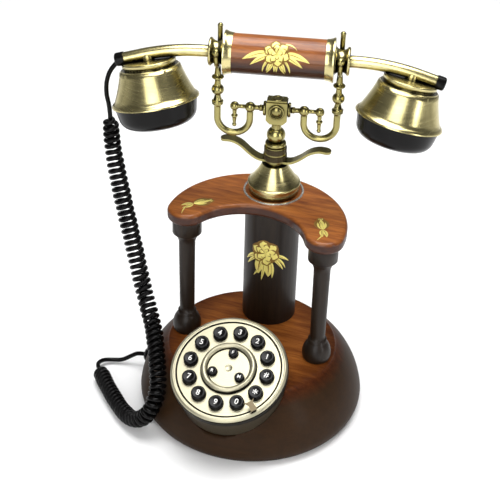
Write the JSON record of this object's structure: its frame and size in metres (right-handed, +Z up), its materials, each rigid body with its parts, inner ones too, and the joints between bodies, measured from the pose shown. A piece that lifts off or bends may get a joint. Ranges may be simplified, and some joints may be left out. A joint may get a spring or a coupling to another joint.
{
  "type": "push-button telephone",
  "caption": "Antique-style desk telephone with a round wooden base, a push-button dial, a brass fork cradle and a wooden handset on a curly cord",
  "frame": {"origin": "Centre of the round base, on the surface that the telephone stands on.", "axes": "+Z is up. The dial faces -Y. +X is to the right of someone who faces the dial."},
  "size_m": [0.2546, 0.1877, 0.3006],
  "materials": {
    "dark_wood": "satin varnish",
    "red_wood": "gloss varnish",
    "brass": "brushed antique finish",
    "dial_cream": "satin champagne paint",
    "dark_bronze": "satin paint",
    "stop_metal": "polished",
    "black_plastic": "smooth moulded",
    "cord_vinyl": "smooth vinyl sleeve",
    "steel": "plain",
    "circuit_board": "solder mask on glass fibre",
    "abs": "fine texture",
    "felt": "pressed felt",
    "silicone": "matte"
  },
  "bodies": {
    "root": {"base_shell": "dark_wood", "bottom_plate": "abs", "base_pad": "felt", "wood_screws": "steel", "ballast_weight": "steel", "main_board": "circuit_board", "ringer_speaker": "abs", "line_jack": "abs", "cord_bushing": "cord_vinyl", "column": "dark_wood", "post_left": "dark_wood", "post_right": "dark_wood", "top_plate": "red_wood", "trim_ring": "brass", "bell_pedestal": "brass", "hook_switch": "abs", "plunger_spring": "steel", "dial_housing": "dark_bronze", "dial_bezel": "dial_cream", "dial_plate": "dial_cream", "dial_hub": "dial_cream", "finger_stop": "stop_metal", "keypad_membrane": "silicone", "keypad_board": "circuit_board", "cord_coil": "cord_vinyl", "cord_lower_lead": "cord_vinyl"},
    "cradle": {"cradle_stem": "brass", "wing_lever": "brass", "cross_block": "brass", "cross_rod": "brass", "fork_arm_left": "brass", "fork_arm_right": "brass"},
    "handset": {"handset_barrel": "red_wood", "core_tube": "brass", "end_spools": "brass", "handset_arm_left": "brass", "handset_arm_right": "brass", "arm_caps": "black_plastic", "cup_left": "brass", "cup_right": "brass", "earpiece_cap": "black_plastic", "mouthpiece_cap": "black_plastic", "receiver_capsule": "abs", "microphone_capsule": "abs", "cord_upper_lead": "cord_vinyl"},
    "key_hash": {"key_hash": "black_plastic"},
    "key_1": {"key_1": "black_plastic"},
    "key_2": {"key_2": "black_plastic"},
    "key_3": {"key_3": "black_plastic"},
    "key_4": {"key_4": "black_plastic"},
    "key_5": {"key_5": "black_plastic"},
    "key_6": {"key_6": "black_plastic"},
    "key_7": {"key_7": "black_plastic"},
    "key_8": {"key_8": "black_plastic"},
    "key_9": {"key_9": "black_plastic"},
    "key_0": {"key_0": "black_plastic"},
    "key_star": {"key_star": "black_plastic"},
    "key_flash": {"key_flash": "black_plastic"},
    "key_redial": {"key_redial": "black_plastic"},
    "key_mute": {"key_mute": "black_plastic"}
  },
  "joints": [
    {"name": "handset_lift", "type": "slide", "parent": "root", "child": "handset", "axis": [0, 0, 1], "range_m": [0, 0.1]},
    {"name": "cradle_hook", "type": "slide", "parent": "root", "child": "cradle", "axis": [0, 0, 1], "range_m": [0, 0.003], "deforming": ["plunger_spring"]},
    {"name": "key_hash_press", "type": "slide", "parent": "root", "child": "key_hash", "axis": [0, 0.4083, -0.9128], "range_m": [0, 0.0015], "stiffness_N_per_m": 800, "springref_m": -0.0003},
    {"name": "key_1_press", "type": "slide", "parent": "root", "child": "key_1", "axis": [0, 0.4083, -0.9128], "range_m": [0, 0.0015], "stiffness_N_per_m": 800, "springref_m": -0.0003},
    {"name": "key_2_press", "type": "slide", "parent": "root", "child": "key_2", "axis": [0, 0.4083, -0.9128], "range_m": [0, 0.0015], "stiffness_N_per_m": 800, "springref_m": -0.0003},
    {"name": "key_3_press", "type": "slide", "parent": "root", "child": "key_3", "axis": [0, 0.4083, -0.9128], "range_m": [0, 0.0015], "stiffness_N_per_m": 800, "springref_m": -0.0003},
    {"name": "key_4_press", "type": "slide", "parent": "root", "child": "key_4", "axis": [0, 0.4083, -0.9128], "range_m": [0, 0.0015], "stiffness_N_per_m": 800, "springref_m": -0.0003},
    {"name": "key_5_press", "type": "slide", "parent": "root", "child": "key_5", "axis": [0, 0.4083, -0.9128], "range_m": [0, 0.0015], "stiffness_N_per_m": 800, "springref_m": -0.0003},
    {"name": "key_6_press", "type": "slide", "parent": "root", "child": "key_6", "axis": [0, 0.4083, -0.9128], "range_m": [0, 0.0015], "stiffness_N_per_m": 800, "springref_m": -0.0003},
    {"name": "key_7_press", "type": "slide", "parent": "root", "child": "key_7", "axis": [0, 0.4083, -0.9128], "range_m": [0, 0.0015], "stiffness_N_per_m": 800, "springref_m": -0.0003},
    {"name": "key_8_press", "type": "slide", "parent": "root", "child": "key_8", "axis": [0, 0.4083, -0.9128], "range_m": [0, 0.0015], "stiffness_N_per_m": 800, "springref_m": -0.0003},
    {"name": "key_9_press", "type": "slide", "parent": "root", "child": "key_9", "axis": [0, 0.4083, -0.9128], "range_m": [0, 0.0015], "stiffness_N_per_m": 800, "springref_m": -0.0003},
    {"name": "key_0_press", "type": "slide", "parent": "root", "child": "key_0", "axis": [0, 0.4083, -0.9128], "range_m": [0, 0.0015], "stiffness_N_per_m": 800, "springref_m": -0.0003},
    {"name": "key_star_press", "type": "slide", "parent": "root", "child": "key_star", "axis": [0, 0.4083, -0.9128], "range_m": [0, 0.0015], "stiffness_N_per_m": 800, "springref_m": -0.0003},
    {"name": "key_flash_press", "type": "slide", "parent": "root", "child": "key_flash", "axis": [0, 0.4083, -0.9128], "range_m": [0, 0.0015], "stiffness_N_per_m": 800, "springref_m": -0.0003},
    {"name": "key_redial_press", "type": "slide", "parent": "root", "child": "key_redial", "axis": [0, 0.4083, -0.9128], "range_m": [0, 0.0015], "stiffness_N_per_m": 800, "springref_m": -0.0003},
    {"name": "key_mute_press", "type": "slide", "parent": "root", "child": "key_mute", "axis": [0, 0.4083, -0.9128], "range_m": [0, 0.0015], "stiffness_N_per_m": 800, "springref_m": -0.0003}
  ],
  "couplings": [
    {"joint": "cradle_hook", "follows": "handset_lift", "ratio": 0.03}
  ]
}
